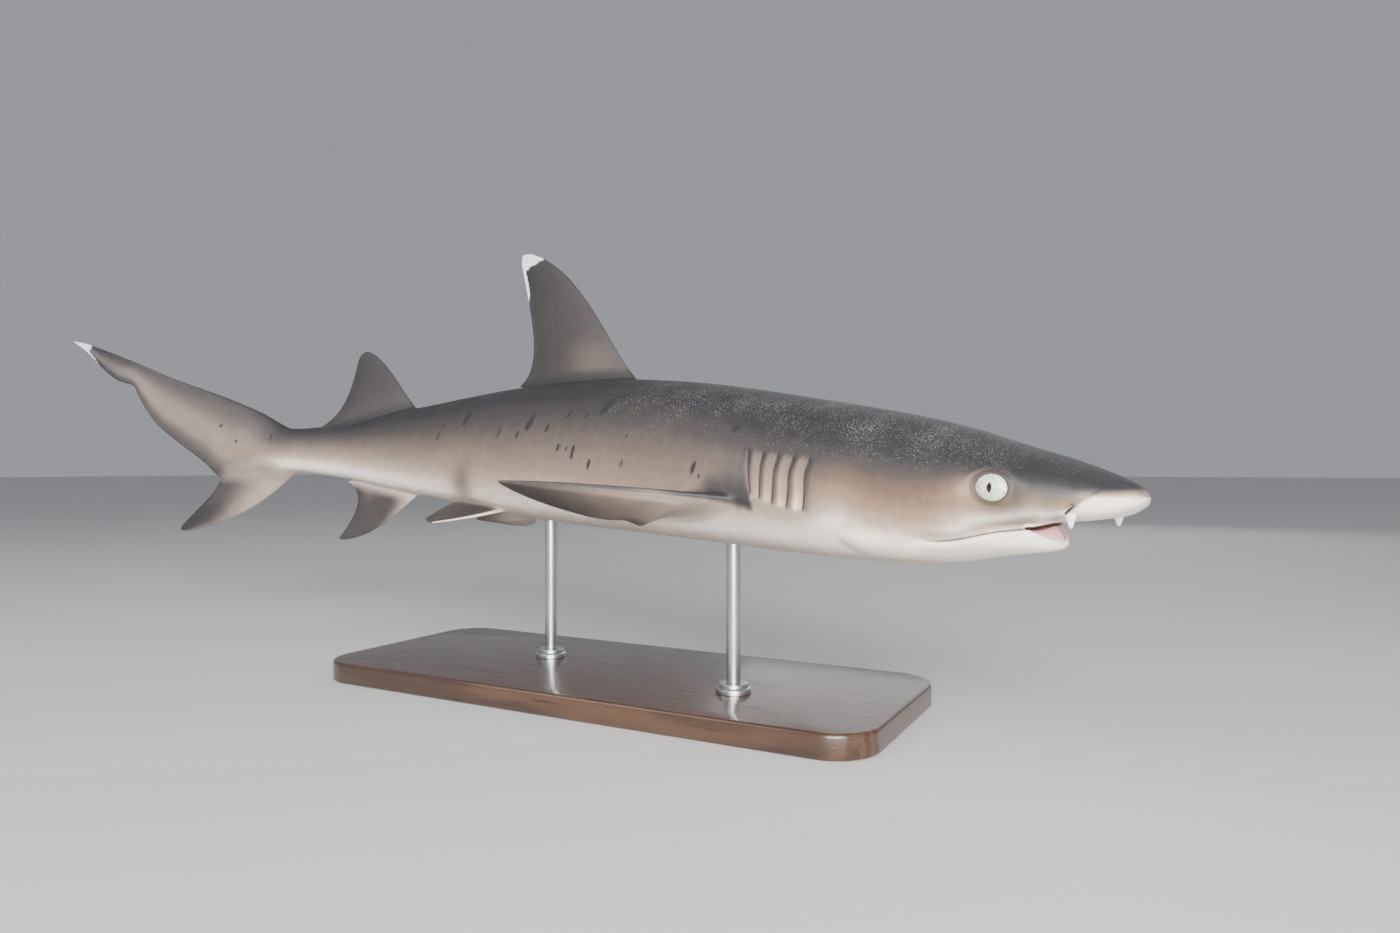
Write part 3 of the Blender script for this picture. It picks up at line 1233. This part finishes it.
# The upper tail lobe: brown along the top, pale through the middle, grey at its lower edge.
lobe_t = lobe_share(laid[:, 0])
lobe_down = (1 - np.sin(laid[:, 1])) / 2
lower_grey = 0.36 * soft_step(lobe_down, 0.66, 0.96) + 0.35 * soft_step(lobe_down, 0.97, 1)
lobe = mix(0.22, 0.62, soft_step(lobe_down, 0.02, 0.55)) - lower_grey * soft_step(s, 965, 1010)
lobe -= 0.26 * soft_step(lobe_t, 0.62, 0.95)
paleness = mix(paleness, lobe, soft_step(lobe_t, 0.02, 0.22) * on("body"))

# White tips, as a distance in mm inside their ragged edge.
NO_TIP = -50.0
over_edge = up - (196 + 0.45 * (608 - s))
down_rear_edge = 9 - 70 * (1 - rear) - 0.45 * np.maximum(178 - up, 0)
tail_tip = np.maximum(s - 1190, 22 * (lobe_down - 0.86) - 0.3 * np.maximum(1190 - s, 0))
white_tip = np.select([on("first_dorsal"), on("body") & (s > 1100)],
                      [np.maximum(over_edge, down_rear_edge), tail_tip], NO_TIP)

# Where the forms meet, the tones run into each other.
TONE_PASSES = 10
tones = np.stack([paleness, warmth, white_tip], axis=1)
near_joint = np.clip(1.6 - to_joint / 4, 0, 1) * ~at_mouth
for passes in range(TONE_PASSES):
    tones += (averaged(tones) - tones) * near_joint[:, None]
paleness, warmth, white_tip = tones.T

# A dark line runs from the last slit's foot into the pectoral fin's leading edge.
FIN_LINE = [(254, -26), (264, -24.5), (275, -22.5), (292, -22.5)]
FIN_LINE_HALF, FIN_LINE_TONE = 3.0, 0.05
fin_line = bell(path_distance(s, up, FIN_LINE), 0, FIN_LINE_HALF)
paleness = mix(paleness, FIN_LINE_TONE, fin_line * flank * (s < 300) * (aside < 84))

reach, strength = spot_reach(points)
spots = np.clip(1.5 - reach, 0, 1.5) * strength * (on_body & (aside > 2))

# The mouth's lining, behind the edge of the lips.
LIP_THICKNESS = 4
lip_out = np.where(up > (upper_lip(s) + lower_lip(s)) / 2, half_width(s), jaw_width(s))
inside = on("mouth_hollow") | on("mouth_wedge") & (aside < lip_out - LIP_THICKNESS) & (s > 53)
lining = averaged(inside[:, None].astype(float))[:, 0]

# Pale flecks of sand lie along the back, thickest behind the head.
sand = soft_step(elevation, 0.15, 0.9) * between(s, 40, 90, 380, 470)
sand = np.where(on("body"), sand + 0.25 * soft_step(elevation, 0.4, 1.0), 0.1)


def lay_on(piece, name, values):
    """Gives each point of the piece a number, or a place, for the shader to read."""
    kind, key = ("FLOAT", "value") if values.ndim == 1 else ("FLOAT_VECTOR", "vector")
    layer = piece.data.attributes.new(name, kind, "POINT")
    layer.data.foreach_set(key, values.astype(np.float32).ravel())


for name, values in (("paleness", paleness), ("warmth", warmth), ("rim", rim), ("slit", slit),
                     ("white_tip", white_tip), ("spots", spots), ("lining", lining),
                     ("sand", sand), ("flat_place", np.stack([s, out, up], axis=1) / 1000)):
    lay_on(body, name, values)


def read_layer(name):
    return Shade.node("Attribute", {"attribute_name": name}, {}, "Vector")


def painted(name):
    return Shade.node("Attribute", {"attribute_name": name}, {}, "Fac")


def tinted(colour, tint, share):
    """A colour multiplied by a tint, by a share."""
    inputs = {0: share, 6: colour, 7: (*tint, 1)}
    return Shade.node("Mix", {"data_type": "RGBA", "blend_type": "MULTIPLY"}, inputs, 2)


WARM_TINT = (1.25, 0.95, 0.70)
SAND_GREY, SPOT_BLACK, TIP_WHITE = (0.34, 0.33, 0.31), (0.014, 0.012, 0.014), (0.74, 0.78, 0.84)
RIM_BROWN, SLIT_BLACK, LINING_PINK = (0.055, 0.040, 0.036), (0.016, 0.011, 0.010), (0.40, 0.20, 0.17)
SKIN_RELIEF = 0.00022
SKIN_TONES = [
    (0.0, (0.016, 0.0145, 0.017)), (0.22, (0.043, 0.037, 0.036)), (0.42, (0.106, 0.088, 0.078)),
    (0.62, (0.212, 0.174, 0.146)), (0.80, (0.385, 0.318, 0.262)), (1.0, (0.850, 0.770, 0.680)),
]
skin = start_material("shark_skin")
flat_place = read_layer("flat_place")
along_body = stretched(flat_place, (0.6, 1.0, 1.0))
grain = noise(along_body, 900.0, 2.0)
mottle = noise(along_body, 130.0, 4.0, 0.6)
cloud = noise(along_body, 22.0, 3.0)
streak = noise(stretched(flat_place, (2.6, 0.7, 0.7)), 90.0, 3.0)
pale = painted("paleness")
for pattern, strength in ((cloud, 0.10), (mottle, 0.12), (streak, 0.07), (grain, 0.10)):
    pale = pale + (pattern - 0.5) * strength
tone = Shade.node("ValToRGB", {"stops": SKIN_TONES}, {"Fac": pale})
tone = tinted(tone, WARM_TINT, painted("warmth").smooth(-0.05, 0.9))
flecks = noise(flat_place, 1400.0, 1.0)
drift = noise(flat_place, 38.0, 3.0)
fleck_share = (flecks + painted("sand") * 0.07 + (drift - 0.5) * 0.22).smooth(0.69, 0.79)
tone = mixed(tone, SAND_GREY, fleck_share * painted("sand").smooth(0.02, 0.35) * 0.8)
spot_share = (painted("spots") + (mottle - 0.5) * 0.5 + (grain - 0.5) * 0.3).smooth(0.06, 0.5)
tone = mixed(tone, SPOT_BLACK, spot_share * 0.88)
tone = mixed(tone, RIM_BROWN, painted("rim").smooth(0.15, 0.9) * 0.9)
tone = mixed(tone, SLIT_BLACK, painted("slit").smooth(0.18, 0.75) * 0.96)
ragged = painted("white_tip") + (mottle - 0.5) * 9 + (grain - 0.5) * 4
tone = mixed(tone, TIP_WHITE, ragged.smooth(-1.2, 1.2))
tone = mixed(tone, LINING_PINK, painted("lining") * (0.75 + mottle * 0.25))
finish_material(
    tone,
    0.60 - painted("lining") * 0.32 + (mottle - 0.5) * 0.10,
    grain * 0.7 + noise(along_body, 2400.0, 1.0) * 0.3,
    SKIN_RELIEF,
    {"Coat Weight": 0.03, "Coat Roughness": 0.35},
)
body.data.materials.clear()
body.data.materials.append(skin)
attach(body, "root")
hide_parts("head", "lower_jaw", "gill_region", "trunk", "tail_stock", "first_dorsal_fin",
            "second_dorsal_fin", "anal_fin", "tail_fin_upper_lobe", "tail_fin_lower_lobe",
            "pectoral_fin_left", "pectoral_fin_right", "pelvic_fin_left", "pelvic_fin_right",
            "nasal_flap_left", "nasal_flap_right")


# ---- tongue ----
# A smooth pink pad of cast resin that lies on the floor of the mouth. It is a loft between the
# jaw's sides, crowned to just under the upper lip and rounded at both ends.

TONGUE_FROM, TONGUE_TO = 50.2, 82
TONGUE_TIP, TONGUE_TAPER, TONGUE_MARGIN = 7, 16, 2.4
TONGUE_CROWN, TONGUE_SINK, TONGUE_UNDER, LIP_GAP = 6.2, 2.6, 1.6, 0.9
TONGUE_LIGHT, TONGUE_DARK = (0.70, 0.45, 0.42), (0.55, 0.30, 0.28)


def tongue_place(stations, turn):
    ends = np.minimum((TONGUE_TO - stations) / TONGUE_TAPER, (stations - TONGUE_FROM) / TONGUE_TIP)
    rounded = np.sqrt(np.clip(ends, 0, 1))
    floor_level = lower_lip(stations)
    width = np.maximum((jaw_width(stations) - TONGUE_MARGIN) * rounded, 0.5)
    crown = np.minimum(floor_level + TONGUE_CROWN * rounded, upper_lip(stations) - LIP_GAP)
    middle = floor_level - TONGUE_SINK
    rise = np.where(np.sin(turn) > 0, np.maximum(crown - middle, 0.6), TONGUE_UNDER * rounded)
    return np.stack([-stations, width * np.cos(turn), middle + rise * np.sin(turn)], axis=1)


TONGUE_AROUND = 56
tongue_rings = 50.3 + 31.2 * np.linspace(0, 1, 48) ** 1.3
tongue = rounded_loft("tongue_pad", TONGUE_AROUND, tongue_rings, tongue_place)
write_points(tongue, bent(read_points(tongue)))
face_outwards(tongue)
bpy.ops.object.shade_smooth()
pink = start_material("mouth_lining")
finish_material(mixed(TONGUE_DARK, TONGUE_LIGHT, noise(object_place(), 120.0, 3.0)), 0.35)
tongue.data.materials.clear()
tongue.data.materials.append(pink)
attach(tongue, "root")
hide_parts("tongue")


# ---- eyes ----
# Glass eyes, set behind the lids: a pale green iris with fine spokes, a thin dark outline and a
# slit of a pupil that stands upright and comes to a point at both ends.

PUPIL = (72.5, 6.25)
PUPIL_HALF = (1.45, 3.3)
IRIS_HALF = (10.2, 8.2)
EYE_AROUND, EYE_RINGS = 96, 64
IRIS_DARK, IRIS_LIGHT, IRIS_RIM = (0.27, 0.30, 0.22), (0.80, 0.84, 0.70), (0.60, 0.55, 0.34)
IRIS_OUTLINE, PUPIL_EDGE, PUPIL_BLACK = (0.10, 0.085, 0.06), (0.16, 0.10, 0.06), (0.008, 0.007, 0.007)

eye_glass = start_material("glass_eye")
iris_place = read_layer("iris_place")
across, level = (Shade.node("SeparateXYZ", {}, {"Vector": iris_place}, k) for k in (0, 1))
radius = (across * across + level * level) ** 0.5
spokes_turn = level.maths("ARCTAN2", across)
spokes_place = Shade.node("CombineXYZ", {}, {0: spokes_turn * 7.0, 1: radius * 1.3, 2: 0.0})
spokes = noise(spokes_place, 1.6, 4.0, 0.65)
ripple = noise(iris_place, 3.2, 4.0, 0.6)
iris = mixed(IRIS_DARK, IRIS_LIGHT, (spokes * 0.6 + ripple * 0.5).smooth(0.38, 0.66))
iris = mixed(iris, IRIS_RIM, radius.smooth(0.86, 0.97) * 0.75)
iris = mixed(iris, IRIS_OUTLINE, radius.smooth(0.975, 1.03) * 0.9)
long_way = level * (IRIS_HALF[1] / PUPIL_HALF[1])
half_way = (1 - long_way * long_way).maths("MAXIMUM", 0) ** 0.8 * (PUPIL_HALF[0] / IRIS_HALF[0])
beside = across.maths("ABSOLUTE") - half_way
pupil = beside.smooth(0.012, -0.012) * (long_way * long_way).smooth(1.0, 0.97)
pupil_edge = beside.smooth(0.06, 0.0) * (long_way * long_way).smooth(1.3, 1.0)
iris = mixed(iris, PUPIL_EDGE, pupil_edge * 0.7)
iris = mixed(iris, PUPIL_BLACK, pupil)
cornea = {"Coat Weight": 1.0, "Coat Roughness": 0.03, "Coat IOR": 1.34}
finish_material(iris, 0.22 + ripple * 0.06, fixed=cornea)
for word, side in (("left", 1), ("right", -1)):
    deselect_all()
    bpy.ops.mesh.primitive_uv_sphere_add(segments=EYE_AROUND, ring_count=EYE_RINGS)
    ball = bpy.context.object
    ball.name = "eye_ball_" + word
    unit = read_points(ball)
    unit = np.stack([unit[:, 0], side * unit[:, 2], unit[:, 1] * side], axis=1)
    shape = unit * EYE_HALF + [-EYE_CENTRE[0], side * EYE_CENTRE[1], EYE_CENTRE[2]]
    iris_at = np.stack([(-shape[:, 0] - PUPIL[0]) / IRIS_HALF[0],
                        (shape[:, 2] - PUPIL[1]) / IRIS_HALF[1], 0 * shape[:, 0]], axis=1)
    write_points(ball, bent(shape))
    face_outwards(ball)
    bpy.ops.object.shade_smooth()
    lay_on(ball, "iris_place", iris_at)
    ball.data.materials.clear()
    ball.data.materials.append(eye_glass)
    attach(ball, "root")
    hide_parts("eye_" + word)


# ---- floor, lights and camera ----
# A plain pale floor under soft studio light: a strong key ahead of the shark on its right, a weak
# fill behind it on the same side and another lamp on its left. The camera stands on its right,
# level with its spine.

FLOOR_SIZE = 40
KEY, FILL, FAR_SIDE = (1.15, -1.7, 0.66), (-1.2, -1.6, 1.6), (-0.1, 2.4, 1.3)
WORLD_COLOUR, WORLD_STRENGTH = (0.9, 0.93, 1.0, 1), 0.38
FILM_WIDTH, FOCAL_SHARE = 36, 910.6 / 1400
CAMERA_PLACE, CAMERA_TURN = (0.4778, -0.7217, 0.2103), 28.2

deselect_all()
bpy.ops.mesh.primitive_plane_add(size=FLOOR_SIZE, location=(0, 0, 0))
floor = bpy.context.object
floor.name = "studio_floor"
plaster = start_material("studio_floor")
finish_material(mixed((0.62, 0.61, 0.60), (0.66, 0.65, 0.64), noise(object_place(), 3.0)), 0.8)
floor.data.materials.append(plaster)


def soft_light(name, place, aim, size, power):
    deselect_all()
    bpy.ops.object.light_add(type="AREA", location=place)
    lamp = bpy.context.object
    lamp.name = name
    lamp.data.size = size
    lamp.data.energy = power
    lamp.rotation_euler = (Vector(aim) - Vector(place)).to_track_quat("-Z", "Y").to_euler()


soft_light("key", KEY, aim=(0.12, 0, 0.19), size=1.2, power=120)
soft_light("fill", FILL, aim=(-0.2, 0, 0.2), size=1.2, power=16)
soft_light("far side", FAR_SIDE, aim=(0, 0, 0.2), size=2.0, power=11)
world = bpy.data.worlds.new("studio")
bpy.context.scene.world = world
world.use_nodes = True
background = world.node_tree.nodes["Background"].inputs
background["Color"].default_value = WORLD_COLOUR
background["Strength"].default_value = WORLD_STRENGTH

deselect_all()
bpy.ops.object.camera_add(location=CAMERA_PLACE,
                          rotation=(math.pi / 2, 0, math.radians(CAMERA_TURN)))
camera = bpy.context.object
camera.data.sensor_width = FILM_WIDTH
camera.data.lens = FILM_WIDTH * FOCAL_SHARE
bpy.context.scene.camera = camera
